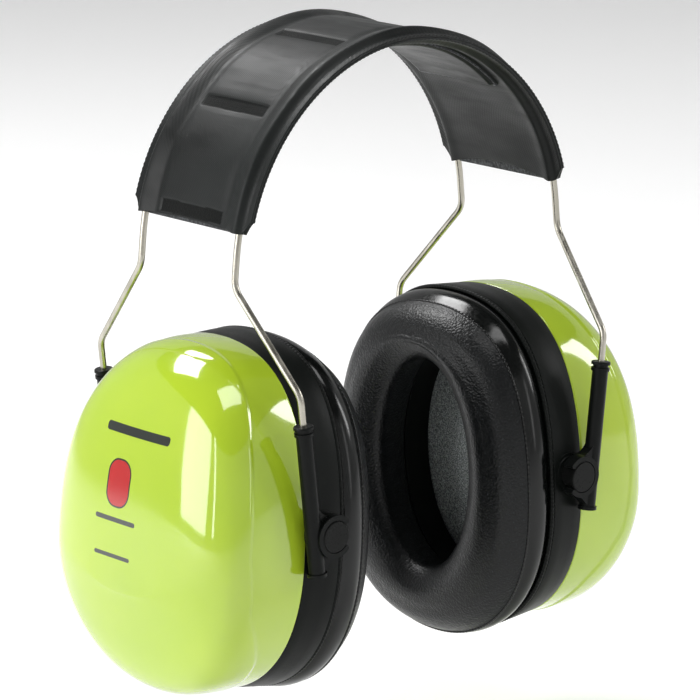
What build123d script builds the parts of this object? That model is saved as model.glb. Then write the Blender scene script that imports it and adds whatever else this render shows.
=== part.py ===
from build123d import *
import os
from math import acos, atan2, cos, degrees, hypot, radians, sin, tan

# Over-the-head hearing protection earmuffs. Millimetres.
# X runs from ear to ear (the wearer's right cup at +X), Y from the face (-Y) to the nape (+Y), Z up.
# The origin is midway between the cups, at the height of the pivots that the cups tilt on.

# ---- driving dimensions -------------------------------------------------------------------

# Cup outline at the joint between the black base and the coloured shell, seen from the side.
CUP_HALF_WIDTH = 41.8
CUP_WIDEST_Z = -9.7
CUP_TOP_Z = 49.9
CUP_BOTTOM_Z = -53.4
TOP_FULLNESS = 0.69          # length of the curve handles as a share of the half axes
BOTTOM_FULLNESS = 0.61

# Stack of each cup, as distances from the middle of the head.
CUSHION_FACE_X = 24.5
CUSHION_DEPTH = 16.5
PLATE_THICKNESS = 1.3
BASE_DEPTH = 12.0
SHELL_DEPTH = 31.6
LEFT_CUP_TILT = 4.7          # the left cup hangs with its top leaning in by this angle

# Outer shell.
SHELL_WALL = 2.2
CROWN = 2.5                  # the outer face is domed by this much at its middle
DOME_CENTRE_Z = -22.0        # height of the outermost point
DOME_FORWARD = 1.3           # the outermost point sits a little towards the face

# Base with the inner casing.
BASE_FLARE = 1.0             # the base grows by this much towards the cushion
FLANGE_THICKNESS = 2.2
CASING_WALL = 2.0
CASING_GAP = 3.5             # air gap between the two casings at the outermost point
CASING_INSET = 6.8
SHELL_LIP = 2.5              # lip of the base that centres the outer shell
LIP_WALL = 1.0
LIP_CLEARANCE = 0.2

# Sealing ring between base and outer shell.
SEAL_INSET = 0.9
SEAL_WIDTH = 1.0
SEAL_DEPTH = 0.9

# Cushion.
SKIN_THICKNESS = 1.0
CUSHION_TOP_DROP = 2.6         # the cushion's face sits lower at the top than the cup's outline
EAR_HALF_WIDTH = 20.0
EAR_HALF_HEIGHT = 32.3
EAR_CENTRE_Z = -1.8
PLATE_LIP = 2.9
COLLAR_GROWTH = 2.5            # the plate's collar is this much wider than the ear opening
COLLAR_WALL = 1.3
COLLAR_DEPTH = 8.7
PLATE_LIP_WALL = 1.4
SNAP_CLEARANCE = 0.3

# Sound absorbing foam.
COVER_THICKNESS = 1.2
FOAM_CLEARANCE = 0.9
COVER_GAP = 0.2                # between the plate's collar and the foam cover
FOAM_DEPTH = 22.0
ABSORBER_CLEARANCE = 2.2

# Pivot studs.
PIVOT_SETBACK = 5.5          # from the rim of the base to the line of the pivots
BOSS_RISE = 0.7              # the boss stands this much outside the rim at its widest
BOSS_STEP = 0.8
BOSS_STEP_HEIGHT = 0.2
STUD_RADIUS = 3.6
STUD_SHANK_RADIUS = 2.6
STUD_INNER_HEAD_RADIUS = 3.6
STUD_INNER_HEAD_HEIGHT = 1.2
STUD_INNER_GAP = 0.9         # from the base wall's inner side at its widest to the inner head
DISC_OVERHANG = 1.0
DISC_THICKNESS = 1.2
DISC_CHAMFER = 0.25
DISC_SEAT_GAP = 0.1
PIVOT_CLEARANCE = 0.05

# Spring wires.
WIRE_RADIUS = 1.0
WIRE_Y = 21.0
ARCH_Z = 71.8
ARCH_RADIUS = 62.5
UPPER_BEND_OUTSET = 0.5      # the upper bend is this much wider than the arch
UPPER_BEND_DROP = 2.3        # and this far below its centre
LOWER_BEND_HEIGHT = 42.2     # along the arm axis
UPPER_BEND_RADIUS = 7.0
LOWER_BEND_RADIUS = 6.0
STOP_PROUD = 0.3             # the stop at the wire's end is this much thicker than the wire
STOP_LENGTH = 2.5
STOP_BOTTOM = -6.2

# Arms. Heights run along the arm axis from the level of the pivots.
LEG_TILT = 6.5               # the arms lean in towards the chin
LEG_STANDOFF = 2.7           # from the face of the boss to the arm axis
STOP_CLEARANCE = 0.1
TUBE_WALL = 1.0
TUBE_TOP = 30.8
TUBE_BOTTOM = -11.3
TUBE_FLOOR = 1.0
FOOT_OVERHANG = 0.45
FOOT_HEIGHT = 1.0
RING_GAP = 0.5               # between the ring and the boss of the cup
RING_PROUD = 0.9             # the ring stands this much further out than the tube
RING_RIM = 1.5               # width of the rim round the disc
RING_TO_WIRE_WALL = 0.75     # wall between the ring's bore and the tube's bore
DISC_RECESS = 1.1
DISC_CLEARANCE = 0.2
MOUTH_HALF_ANGLE = 45.0
WEB_WIDTH = 3.4
WEB_REACH = 5.0                # the web leaves the tube this far above the ring
RING_END_RELIEF = 1.5          # the ring's free ends are thinner by this much

# Guide bushes in the arm tops.
BUSH_WALL = 0.75
BUSH_CAP_OVERHANG = 0.5
BUSH_RING_OVERHANG = 0.4
BUSH_NECK_INSET = 0.1
BUSH_STEP = 0.95             # height of cap, neck and ring, each
BUSH_CAP_ROUND = 0.45
BUSH_SPIGOT_LENGTH = 3.8
BUSH_CLEARANCE = 0.05

# Headband cover.
BAND_HALF_ANGLE = 78.0
WELD_WIDTH = 5.0             # from the wires to the cover's edge
BAND_SKIN = 0.8
CORE_TO_WIRE = 2.0           # from the foam's edge to the wires' centre line
BAND_CORE_RISE = 0.7         # the foam reaches this far above the wires' centre line
BAND_CORE_DROP = 1.1
WELD_HALF_THICKNESS = 0.8
WIRE_SLEEVE = 1.0            # skin over the wires
SLEEVE_CLEARANCE = 0.05
PAD_HALF_ANGLE = 45.0
PAD_INSET = 1.5              # the pad is narrower than the foam by this much on each side
PAD_DROP = 1.8

# ---- what follows from them ---------------------------------------------------------------

PLATE_X = CUSHION_FACE_X + CUSHION_DEPTH
BASE_X = PLATE_X + PLATE_THICKNESS
RIM_X = BASE_X + BASE_DEPTH
SHELL_APEX_X = RIM_X + SHELL_DEPTH
BASE_WALL = SHELL_WALL + LIP_CLEARANCE + LIP_WALL
CASING_X = BASE_X + FLANGE_THICKNESS
CASING_APEX_X = SHELL_APEX_X - SHELL_WALL - CASING_GAP
OPENING_INSET = CASING_INSET + CASING_WALL
COVER_X = BASE_X + COLLAR_DEPTH + COVER_GAP
FOAM_X = COVER_X + COVER_THICKNESS

PIVOT_X = RIM_X - PIVOT_SETBACK
BOSS_FACE_Y = CUP_HALF_WIDTH + BOSS_RISE
DISC_RADIUS = STUD_RADIUS + DISC_OVERHANG
RING_RADIUS = DISC_RADIUS + DISC_CLEARANCE + RING_RIM
RING_THICKNESS = 2 * (LEG_STANDOFF - RING_GAP) + RING_PROUD

STOP_RADIUS = WIRE_RADIUS + STOP_PROUD
TUBE_BORE = STOP_RADIUS + STOP_CLEARANCE
TUBE_RADIUS = TUBE_BORE + TUBE_WALL
BUSH_SPIGOT_RADIUS = WIRE_RADIUS + BUSH_CLEARANCE + BUSH_WALL
LEG_X = PIVOT_X + STUD_RADIUS + PIVOT_CLEARANCE + RING_TO_WIRE_WALL + TUBE_BORE
LEG_Y = BOSS_FACE_Y + LEG_STANDOFF
LEG_DIRECTION = Vector(sin(radians(LEG_TILT)), 0, cos(radians(LEG_TILT)))
UPPER_BEND = (ARCH_RADIUS + UPPER_BEND_OUTSET, -WIRE_Y, ARCH_Z - UPPER_BEND_DROP)

BAND_HALF_WIDTH = WIRE_Y + WELD_WIDTH
BAND_CORE_HALF_WIDTH = WIRE_Y - CORE_TO_WIRE
PAD_HALF_WIDTH = BAND_CORE_HALF_WIDTH - PAD_INSET
SKIN_RISE = BAND_CORE_RISE + BAND_SKIN
SKIN_DROP = BAND_CORE_DROP + BAND_SKIN

parts = {}


# ---- shapes that repeat -------------------------------------------------------------------

def side_plane(x):
    """Plane across the ear-to-ear axis: its X is the object's Y, its Y is the object's Z."""
    return Plane(origin=(x, 0, 0), x_dir=(0, 1, 0), z_dir=(1, 0, 0))


def egg(x, half_width, widest_z, top_z, bottom_z, forward=0.0):
    """Closed egg-shaped face at x, four curves that meet tangentially."""
    top = top_z - widest_z
    low = widest_z - bottom_z
    curves = []
    for height, fullness in ((top, TOP_FULLNESS), (-low, BOTTOM_FULLNESS)):
        for side in (1, -1):
            curves.append(
                Bezier(
                    (side * half_width - forward, widest_z),
                    (side * half_width - forward, widest_z + fullness * height),
                    (side * half_width * fullness - forward, widest_z + height),
                    (-forward, widest_z + height),
                )
            )
    return side_plane(x) * make_face(curves)


def cup_face(x, inset=0.0, top_drop=0.0):
    """The cup's outline at x, drawn in by inset all round and lowered by top_drop at its top."""
    top_z = CUP_TOP_Z - inset - top_drop
    return egg(x, CUP_HALF_WIDTH - inset, CUP_WIDEST_Z, top_z, CUP_BOTTOM_Z + inset)


def slab(x_low, x_high, inset=0.0):
    """Straight piece of the cup's outline."""
    return extrude(cup_face(x_low, inset), x_high - x_low, dir=(1, 0, 0))


def ring(x_low, x_high, outer_inset, inner_inset):
    """Straight-walled ring that follows the cup's outline."""
    return slab(x_low, x_high, outer_inset) - slab(x_low, x_high, inner_inset)


def dome(x_low, x_high, inset):
    """Solid dome on the cup's outline: a boxy side, a long slope on top, a fuller chin.

    The face between its shoulders is crowned, and x_high is its height without that crown.
    """
    faces = []
    for share in (0.0, 0.22, 0.42, 0.58, 0.72, 0.83, 0.91, 0.96, 0.985):
        width = (1 - share**6.0) ** (1 / 4.4)
        top = (1 - share**2.7) ** (1 / 4.1)
        low = 1 - share**6.0
        widest_z = DOME_CENTRE_Z + (CUP_WIDEST_Z - DOME_CENTRE_Z) * width
        top_z = DOME_CENTRE_Z + (CUP_TOP_Z - inset - DOME_CENTRE_Z) * top
        bottom_z = DOME_CENTRE_Z + (CUP_BOTTOM_Z + inset - DOME_CENTRE_Z) * low
        bottom_z = min(bottom_z, widest_z - 0.3 * (top_z - widest_z))
        x = x_low + share * (x_high - x_low) + CROWN * (1 - width**2)
        half_width = (CUP_HALF_WIDTH - inset) * width
        faces.append(egg(x, half_width, widest_z, top_z, bottom_z, DOME_FORWARD * share))
    return loft(faces)


def ear_hole(x, grow):
    """Oval of the ear opening at x, enlarged by grow."""
    oval = Ellipse(EAR_HALF_WIDTH + grow, EAR_HALF_HEIGHT + grow)
    return side_plane(x) * Pos(0, EAR_CENTRE_Z) * oval


def rod(plane, radius, length):
    """Round rod that starts on the plane and follows its normal."""
    return extrude(plane * Circle(radius), length)


def across(y_start, x, z=0.0):
    """Plane at y_start whose normal points away from the cup's middle, for the front pivots."""
    return Plane(origin=(x, -y_start, z), x_dir=(1, 0, 0), z_dir=(0, -1, 0))


def on_leg(height):
    """Plane across the front arm's axis at a height along it."""
    origin = Vector(LEG_X, -LEG_Y, 0) + LEG_DIRECTION * height
    across_leg = Vector(LEG_DIRECTION.Z, 0, -LEG_DIRECTION.X)
    return Plane(origin=origin, x_dir=across_leg, z_dir=LEG_DIRECTION)


def leg_rod(radius, low, high):
    """Round rod on the front arm's axis between two heights."""
    return rod(on_leg(low), radius, high - low)


# ---- cup ----------------------------------------------------------------------------------

def make_outer_shell():
    hollow = dome(RIM_X, SHELL_APEX_X - SHELL_WALL, SHELL_WALL)
    return dome(RIM_X, SHELL_APEX_X, 0) - hollow


def make_inner_shell():
    """Black base ring, its flange and the inner casing, in one moulding."""
    flared = loft([cup_face(BASE_X, -BASE_FLARE), cup_face(RIM_X, 0)])
    wall = flared - slab(CASING_X, RIM_X, BASE_WALL) - slab(BASE_X, CASING_X, OPENING_INSET)
    lip_inset = SHELL_WALL + LIP_CLEARANCE
    lip = ring(RIM_X - LIP_WALL, RIM_X + SHELL_LIP, lip_inset, lip_inset + LIP_WALL)
    casing = dome(CASING_X, CASING_APEX_X, CASING_INSET)
    casing -= dome(CASING_X, CASING_APEX_X - CASING_WALL, OPENING_INSET)
    body = wall + lip + casing
    trim = Pos((BASE_X + RIM_X) / 2, 0, 0) * Box(BASE_DEPTH, 4 * CUP_HALF_WIDTH, 4 * RING_RADIUS)
    for rear in (False, True):
        root_y = BOSS_FACE_Y - BASE_WALL
        boss = rod(across(root_y, PIVOT_X), RING_RADIUS, BASE_WALL - BOSS_STEP_HEIGHT)
        boss += rod(across(root_y, PIVOT_X), RING_RADIUS - BOSS_STEP, BASE_WALL)
        hole = rod(across(root_y - BASE_WALL, PIVOT_X), STUD_SHANK_RADIUS, 3 * BASE_WALL)
        boss &= trim
        if rear:
            boss = mirror(boss, about=Plane.XZ)
            hole = mirror(hole, about=Plane.XZ)
        body += boss
        body -= hole
    return body - make_seal_ring()


def make_seal_ring():
    return ring(RIM_X - SEAL_DEPTH, RIM_X, SEAL_INSET, SEAL_INSET + SEAL_WIDTH)


def cushion_form(thickness):
    """The cushion's ring, drawn in by thickness everywhere but at its back."""
    face_x = CUSHION_FACE_X + thickness
    outer = ((1.0, 0.4), (0.84, -1.0), (0.64, -1.0), (0.46, 0.4), (0.26, 2.2), (0.09, 5.2), (0.0, 9.0))
    inner = ((1.0, 2.0), (0.35, 0.0), (0.12, 2.0), (0.0, 5.5))
    depth = PLATE_X - face_x
    faces = []
    for share, inset in outer:
        drop = CUSHION_TOP_DROP * min(1.0, 2 * (1 - share))
        faces.append(cup_face(face_x + depth * share, inset + thickness, drop))
    holes = [ear_hole(face_x + depth * share, grow + thickness) for share, grow in inner]
    return loft(faces) - loft(holes)


def make_cushion_plate():
    """Rigid ring behind the cushion, with its snap lip and the collar in front of the foam."""
    plate = slab(PLATE_X, BASE_X, 0.3)
    lip = ring(
        PLATE_X,
        BASE_X + PLATE_LIP,
        OPENING_INSET + SNAP_CLEARANCE,
        OPENING_INSET + SNAP_CLEARANCE + PLATE_LIP_WALL,
    )
    outside = ear_hole(BASE_X, COLLAR_GROWTH + COLLAR_WALL)
    plate += extrude(outside, COLLAR_DEPTH, dir=(1, 0, 0))
    bore = ear_hole(PLATE_X, COLLAR_GROWTH)
    return plate + lip - extrude(bore, PLATE_THICKNESS + COLLAR_DEPTH, dir=(1, 0, 0))


def make_foam_cover():
    return slab(COVER_X, FOAM_X, OPENING_INSET + FOAM_CLEARANCE)


def make_absorber_foam():
    return dome(FOAM_X, FOAM_X + FOAM_DEPTH, OPENING_INSET + ABSORBER_CLEARANCE)


def make_stud():
    """Pivot stud: inner head, shank through the base wall, journal and the flat disc outside."""
    inner_face = CUP_HALF_WIDTH - BASE_WALL - STUD_INNER_GAP
    journal = RING_GAP + RING_THICKNESS - DISC_RECESS + DISC_SEAT_GAP
    stud = rod(
        across(inner_face - STUD_INNER_HEAD_HEIGHT, PIVOT_X),
        STUD_INNER_HEAD_RADIUS,
        STUD_INNER_HEAD_HEIGHT,
    )
    stud += rod(across(inner_face, PIVOT_X), STUD_SHANK_RADIUS, BOSS_FACE_Y - inner_face)
    stud += rod(across(BOSS_FACE_Y, PIVOT_X), STUD_RADIUS, journal)
    disc = rod(across(BOSS_FACE_Y + journal, PIVOT_X), DISC_RADIUS, DISC_THICKNESS)
    return stud + chamfer(disc.edges().sort_by(Axis.Y)[0], DISC_CHAMFER)


# ---- arm ----------------------------------------------------------------------------------

def make_arm():
    """Tube that slides on the wire, with the open snap ring that grips the stud."""
    ring_y = BOSS_FACE_Y + RING_GAP
    arm = leg_rod(TUBE_RADIUS, TUBE_BOTTOM, TUBE_TOP)
    arm += leg_rod(TUBE_RADIUS + FOOT_OVERHANG, TUBE_BOTTOM, TUBE_BOTTOM + FOOT_HEIGHT)
    arm += rod(across(ring_y, PIVOT_X), RING_RADIUS, RING_THICKNESS)
    upper = on_leg(RING_RADIUS + WEB_REACH).origin
    lower = on_leg(TUBE_BOTTOM + FOOT_HEIGHT).origin
    tube_side = upper.X - TUBE_RADIUS / 2
    web = Line((tube_side, upper.Z), (upper.X, upper.Z))
    web += Line((upper.X, upper.Z), (lower.X, lower.Z))
    web += Line((lower.X, lower.Z), (lower.X - TUBE_RADIUS / 2, lower.Z))
    web += Line((lower.X - TUBE_RADIUS / 2, lower.Z), (PIVOT_X, -0.97 * RING_RADIUS))
    web += Line((PIVOT_X, -0.97 * RING_RADIUS), (PIVOT_X, 0.97 * RING_RADIUS))
    web += ThreePointArc(
        (PIVOT_X, 0.97 * RING_RADIUS),
        (tube_side - 0.24 * (tube_side - PIVOT_X), RING_RADIUS + 0.3 * WEB_REACH),
        (tube_side, upper.Z),
    )
    web_start = Plane(origin=(0, -LEG_Y + WEB_WIDTH / 2, 0), x_dir=(1, 0, 0), z_dir=(0, -1, 0))
    arm += extrude(web_start * make_face(web), WEB_WIDTH)
    reach = 2 * RING_RADIUS
    mouth = Polyline(
        (PIVOT_X, 0),
        (PIVOT_X - reach, reach * tan(radians(MOUTH_HALF_ANGLE))),
        (PIVOT_X - reach, -reach * tan(radians(MOUTH_HALF_ANGLE))),
        close=True,
    )
    ring_plane = Plane(origin=(0, -ring_y, 0), x_dir=(1, 0, 0), z_dir=(0, -1, 0))
    arm -= extrude(ring_plane * make_face(mouth), RING_THICKNESS)
    end_radius = RING_RADIUS - RING_RIM / 2
    for way in (1, -1):
        turn = radians(180 - way * MOUTH_HALF_ANGLE)
        end_plane = across(ring_y, PIVOT_X + end_radius * cos(turn), end_radius * sin(turn))
        arm += rod(end_plane, RING_RIM / 2, RING_THICKNESS)
    relief = Pos(PIVOT_X - RING_RADIUS, -ring_y, 0) * Box(
        2 * RING_RADIUS, 2 * RING_END_RELIEF, 3 * RING_RADIUS
    )
    arm -= relief & rod(across(ring_y - RING_GAP, PIVOT_X), 1.5 * RING_RADIUS, RING_THICKNESS)
    bore = STUD_RADIUS + PIVOT_CLEARANCE
    arm -= rod(across(ring_y - RING_GAP, PIVOT_X), bore, RING_THICKNESS + 2 * RING_GAP)
    recess_y = ring_y + RING_THICKNESS - DISC_RECESS
    arm -= rod(across(recess_y, PIVOT_X), DISC_RADIUS + DISC_CLEARANCE, 2 * DISC_RECESS)
    arm -= leg_rod(TUBE_BORE, TUBE_BOTTOM + TUBE_FLOOR, TUBE_TOP)
    arm -= leg_rod(BUSH_SPIGOT_RADIUS, TUBE_TOP - BUSH_SPIGOT_LENGTH, TUBE_TOP)
    return arm


def make_bush():
    """Guide bush in the top of the arm: spigot, ring, neck and cap around the wire."""
    ring_top = TUBE_TOP + BUSH_STEP
    neck_top = ring_top + BUSH_STEP
    cap_top = neck_top + BUSH_STEP
    bush = leg_rod(BUSH_SPIGOT_RADIUS, TUBE_TOP - BUSH_SPIGOT_LENGTH, TUBE_TOP)
    bush += leg_rod(TUBE_RADIUS + BUSH_RING_OVERHANG, TUBE_TOP, ring_top)
    bush += leg_rod(TUBE_RADIUS - BUSH_NECK_INSET, ring_top, neck_top)
    cap = leg_rod(TUBE_RADIUS + BUSH_CAP_OVERHANG, neck_top, cap_top)
    bush += fillet(cap.edges().sort_by(Axis.Z)[-1], BUSH_CAP_ROUND)
    return bush - leg_rod(WIRE_RADIUS + BUSH_CLEARANCE, TUBE_TOP - BUSH_SPIGOT_LENGTH, cap_top)


# ---- headband -----------------------------------------------------------------------------

def make_wire():
    """Front spring wire: an arch in the cover, two bends on each side and a leg in each arm."""
    bend_x, bend_z = UPPER_BEND[0], UPPER_BEND[2] - ARCH_Z
    arch_end = atan2(bend_x, bend_z) - acos(ARCH_RADIUS / hypot(bend_x, bend_z))
    arch_foot = (ARCH_RADIUS * sin(arch_end), -WIRE_Y, ARCH_Z + ARCH_RADIUS * cos(arch_end))
    side = FilletPolyline(
        on_leg(STOP_BOTTOM).origin,
        on_leg(LOWER_BEND_HEIGHT).origin,
        UPPER_BEND,
        arch_foot,
        radius=(LOWER_BEND_RADIUS, UPPER_BEND_RADIUS),
    )
    arch = ThreePointArc(
        arch_foot,
        (0, -WIRE_Y, ARCH_Z + ARCH_RADIUS),
        (-arch_foot[0], -WIRE_Y, arch_foot[2]),
    )
    path = Wire(side.edges() + arch.edges() + mirror(side, about=Plane.YZ).edges())
    wire = sweep(on_leg(STOP_BOTTOM) * Circle(WIRE_RADIUS), path)
    stop = leg_rod(STOP_RADIUS, STOP_BOTTOM, STOP_BOTTOM + STOP_LENGTH)
    return wire + stop + mirror(stop, about=Plane.YZ)


def band_section(half_width, low, high):
    """Rectangle of the cover's cross section; heights count from the wires' centre line."""
    section = Rectangle(2 * half_width, high - low)
    return Pos(0, ARCH_RADIUS + (high + low) / 2) * section


def wire_circles(radius):
    """Circles round both wires in the cover's cross section."""
    return [Pos(side * WIRE_Y, ARCH_RADIUS) * Circle(radius) for side in (1, -1)]


def sweep_band(section, half_angle):
    """Carry a cross section of the cover round the arch, half_angle to each side."""
    hub = Axis((0, 0, ARCH_Z), (0, 1, 0))
    start = Plane(origin=(0, 0, ARCH_Z), x_dir=(0, 1, 0), z_dir=(1, 0, 0)) * section
    return revolve(start.rotate(hub, -half_angle), hub, 2 * half_angle)


def band_hollow():
    """Room for the foam and for both wires in the cross section."""
    core = band_section(BAND_CORE_HALF_WIDTH, -BAND_CORE_DROP, BAND_CORE_RISE)
    return core + wire_circles(WIRE_RADIUS + SLEEVE_CLEARANCE)


def skin_section():
    flange = band_section(BAND_HALF_WIDTH, -WELD_HALF_THICKNESS, WELD_HALF_THICKNESS)
    middle = band_section(BAND_CORE_HALF_WIDTH + BAND_SKIN, -SKIN_DROP, SKIN_RISE)
    return flange + middle + wire_circles(WIRE_RADIUS + WIRE_SLEEVE) - band_hollow()


def make_band_top_skin():
    above = band_section(2 * BAND_HALF_WIDTH, 0, 4 * SKIN_DROP)
    return sweep_band(skin_section() & above, BAND_HALF_ANGLE)


def pad_angle(inset):
    """Half angle of the crown pad, shortened by inset along the arch."""
    return PAD_HALF_ANGLE - degrees(inset / ARCH_RADIUS)


def make_band_foam():
    core = band_section(BAND_CORE_HALF_WIDTH, -BAND_CORE_DROP, BAND_CORE_RISE)
    deep = band_section(PAD_HALF_WIDTH - BAND_SKIN, -BAND_CORE_DROP - PAD_DROP, 0)
    return sweep_band(core, BAND_HALF_ANGLE) + sweep_band(deep, pad_angle(BAND_SKIN))


def make_band_bottom_skin():
    below = band_section(2 * BAND_HALF_WIDTH, -4 * SKIN_DROP, 0)
    pad = band_section(PAD_HALF_WIDTH, -SKIN_DROP - PAD_DROP, -BAND_CORE_DROP)
    skin = sweep_band(skin_section() & below, BAND_HALF_ANGLE) + sweep_band(pad, PAD_HALF_ANGLE)
    hollow = band_section(PAD_HALF_WIDTH - BAND_SKIN, -BAND_CORE_DROP - PAD_DROP, 0)
    return skin - sweep_band(hollow, pad_angle(BAND_SKIN))


# ---- assembly -----------------------------------------------------------------------------

def add_pair(name, right_piece):
    """Keep a piece of the right side and its mirror image on the left."""
    parts["right_" + name] = right_piece
    parts["left_" + name] = mirror(right_piece, about=Plane.YZ)


def add_cup_piece(name, right_piece):
    """A piece of the cup; the left one hangs tilted about its pivots."""
    add_pair(name, right_piece)
    tilt = Pos(-PIVOT_X, 0, 0) * Rot(0, LEFT_CUP_TILT, 0) * Pos(PIVOT_X, 0, 0)
    parts["left_" + name] = tilt * parts["left_" + name]


cushion_foam = cushion_form(SKIN_THICKNESS)
add_cup_piece("outer_shell", make_outer_shell())
add_cup_piece("inner_shell", make_inner_shell())
add_cup_piece("seal_ring", make_seal_ring())
add_cup_piece("absorber_foam", make_absorber_foam())
add_cup_piece("foam_cover", make_foam_cover())
add_cup_piece("cushion_plate", make_cushion_plate())
add_cup_piece("cushion_skin", cushion_form(0) - cushion_foam)
add_cup_piece("cushion_foam", cushion_foam)
front_stud = make_stud()
add_cup_piece("front_stud", front_stud)
add_cup_piece("rear_stud", mirror(front_stud, about=Plane.XZ))
for name, piece in (("arm", make_arm()), ("bush", make_bush())):
    add_pair("front_" + name, piece)
    add_pair("rear_" + name, mirror(piece, about=Plane.XZ))

front_wire = make_wire()
parts["front_wire"] = front_wire
parts["rear_wire"] = mirror(front_wire, about=Plane.XZ)
parts["band_top_skin"] = make_band_top_skin()
parts["band_bottom_skin"] = make_band_bottom_skin()
parts["band_foam"] = make_band_foam()

os.makedirs("parts", exist_ok=True)
for name, piece in parts.items():
    export_step(piece, f"parts/{name}.step")
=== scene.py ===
from math import cos, pi, radians, sin

import bmesh
import bpy
import numpy as np
from mathutils import Matrix, Vector


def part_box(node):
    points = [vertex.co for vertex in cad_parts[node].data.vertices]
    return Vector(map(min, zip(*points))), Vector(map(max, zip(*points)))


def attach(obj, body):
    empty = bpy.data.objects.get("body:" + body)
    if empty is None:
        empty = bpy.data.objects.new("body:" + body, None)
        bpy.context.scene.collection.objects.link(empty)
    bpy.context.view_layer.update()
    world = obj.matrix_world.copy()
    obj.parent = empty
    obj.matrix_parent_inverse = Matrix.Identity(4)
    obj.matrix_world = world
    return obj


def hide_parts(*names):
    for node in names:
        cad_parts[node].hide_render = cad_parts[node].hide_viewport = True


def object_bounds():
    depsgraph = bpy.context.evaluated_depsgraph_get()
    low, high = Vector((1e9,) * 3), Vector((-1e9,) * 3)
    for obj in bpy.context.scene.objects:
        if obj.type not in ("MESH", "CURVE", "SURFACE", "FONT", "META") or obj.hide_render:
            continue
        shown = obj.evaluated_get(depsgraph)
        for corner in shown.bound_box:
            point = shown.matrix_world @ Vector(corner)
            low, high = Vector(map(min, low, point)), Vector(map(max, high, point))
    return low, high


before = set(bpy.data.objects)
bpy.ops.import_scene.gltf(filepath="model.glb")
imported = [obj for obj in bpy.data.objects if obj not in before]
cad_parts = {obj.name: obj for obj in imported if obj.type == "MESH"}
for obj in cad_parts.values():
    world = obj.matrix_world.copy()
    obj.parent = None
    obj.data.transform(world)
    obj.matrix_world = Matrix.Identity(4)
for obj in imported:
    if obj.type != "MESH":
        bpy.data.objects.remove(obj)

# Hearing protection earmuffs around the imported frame, in metres: +X to the wearer's right cup,
# -Y to the face, +Z up. A cup is drawn once, square, as the right one; the left cup is its mirror
# image, turned about its pivots as it hangs at rest.

CAD_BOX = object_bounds()
MM = 0.001

# ---- sizes read from the frame --------------------------------------------------------------

RIM_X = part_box("right_outer_shell")[0].x
CUSHION_LOW, CUSHION_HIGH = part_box("right_cushion_skin")
PLATE_END_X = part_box("right_cushion_plate")[1].x
CASING_LOW, CASING_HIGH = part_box("right_inner_shell")
COVER_LOW, COVER_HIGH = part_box("right_foam_cover")
STUD_LOW, STUD_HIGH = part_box("right_front_stud")
BASE_X = CASING_LOW.x
PLATE_X = CUSHION_HIGH.x
FACE_X = CUSHION_LOW.x
PIVOT_X = (STUD_LOW.x + STUD_HIGH.x) / 2

# ---- the cup's shape, as in the design --------------------------------------------------------

HALF_WIDTH = 41.8 * MM
WIDEST_Z = -9.7 * MM
TOP_Z = 49.9 * MM
BOTTOM_Z = -53.4 * MM
TOP_FULLNESS = 0.69
BOTTOM_FULLNESS = 0.61
DOME_CENTRE_Z = -22.0 * MM
DOME_FORWARD = 1.3 * MM
SHELL_DEPTH = 31.6 * MM
CROWN = 2.5 * MM                 # extra height of the outer face at its middle
SIDE_POWER, SIDE_ROOT = 6.0, 4.4  # how boxy the dome's side is
TOP_POWER, TOP_ROOT = 2.7, 4.1   # how its top slopes
SHELL_WALL = 2.2 * MM
BASE_FLARE = 1.0 * MM
BASE_WALL = 3.4 * MM
CASING_INSET = 6.8 * MM
CASING_WALL = 2.0 * MM
BASE_FLOOR = 2.2 * MM            # thickness of the base between its rim and the casing
LIP_HEIGHT = 2.5 * MM            # the base's lip reaches this far into the outer shell
EAR_HALF_WIDTH = 20.0 * MM
EAR_HALF_HEIGHT = 32.3 * MM
EAR_CENTRE_Z = -1.8 * MM
OPENING_INSET = CASING_INSET + CASING_WALL
BOSS_FACE_Y = 42.5 * MM
COLLAR_GROWTH = 2.5 * MM         # the collar is this much wider than the ear opening
COLLAR_WALL = 1.3 * MM
LIP_DEPTH = 2.9 * MM
BOSS_RADIUS = 6.3 * MM

# ---- headband and wires, as in the design -----------------------------------------------------

ARCH_Z = 71.8 * MM
ARCH_RADIUS = 62.5 * MM
WIRE_Y = 21.0 * MM
BAND_HALF_ANGLE = radians(78)
BAND_HALF_WIDTH = 26.0 * MM
PAD_HALF_ANGLE = radians(45)
PAD_HALF_WIDTH = 17.5 * MM
PAD_DROP = 1.8 * MM
LEFT_TILT = radians(4.7)         # at rest the left cup's top leans in by this much
FLOOR_DROP = 34.0 * MM           # the cups slide down by 28 mm from the pose at rest

COLUMNS = 288                    # points round a cup


# ---- shader building blocks -------------------------------------------------------------------

class Signal:
    """A socket that carries a number over a surface, with the usual arithmetic."""

    def __init__(self, socket):
        self.socket = socket
        self.tree = socket.id_data

    def _math(self, operation, first, second=None):
        node = self.tree.nodes.new("ShaderNodeMath")
        node.operation = operation
        for index, value in enumerate((first, second)):
            if isinstance(value, Signal):
                self.tree.links.new(value.socket, node.inputs[index])
            elif value is not None:
                node.inputs[index].default_value = value
        return Signal(node.outputs[0])

    def __add__(self, other):
        return self._math("ADD", self, other)

    __radd__ = __add__

    def __sub__(self, other):
        return self._math("SUBTRACT", self, other)

    def __rsub__(self, other):
        return self._math("SUBTRACT", other, self)

    def __mul__(self, other):
        return self._math("MULTIPLY", self, other)

    __rmul__ = __mul__

    def __pow__(self, other):
        return self._math("POWER", self, other)

    def __gt__(self, other):
        return self._math("GREATER_THAN", self, other)

    def __abs__(self):
        return self._math("ABSOLUTE", self)

    def sine(self):
        return self._math("SINE", self)

    def most(self, other):
        return self._math("MAXIMUM", self, other)


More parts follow.
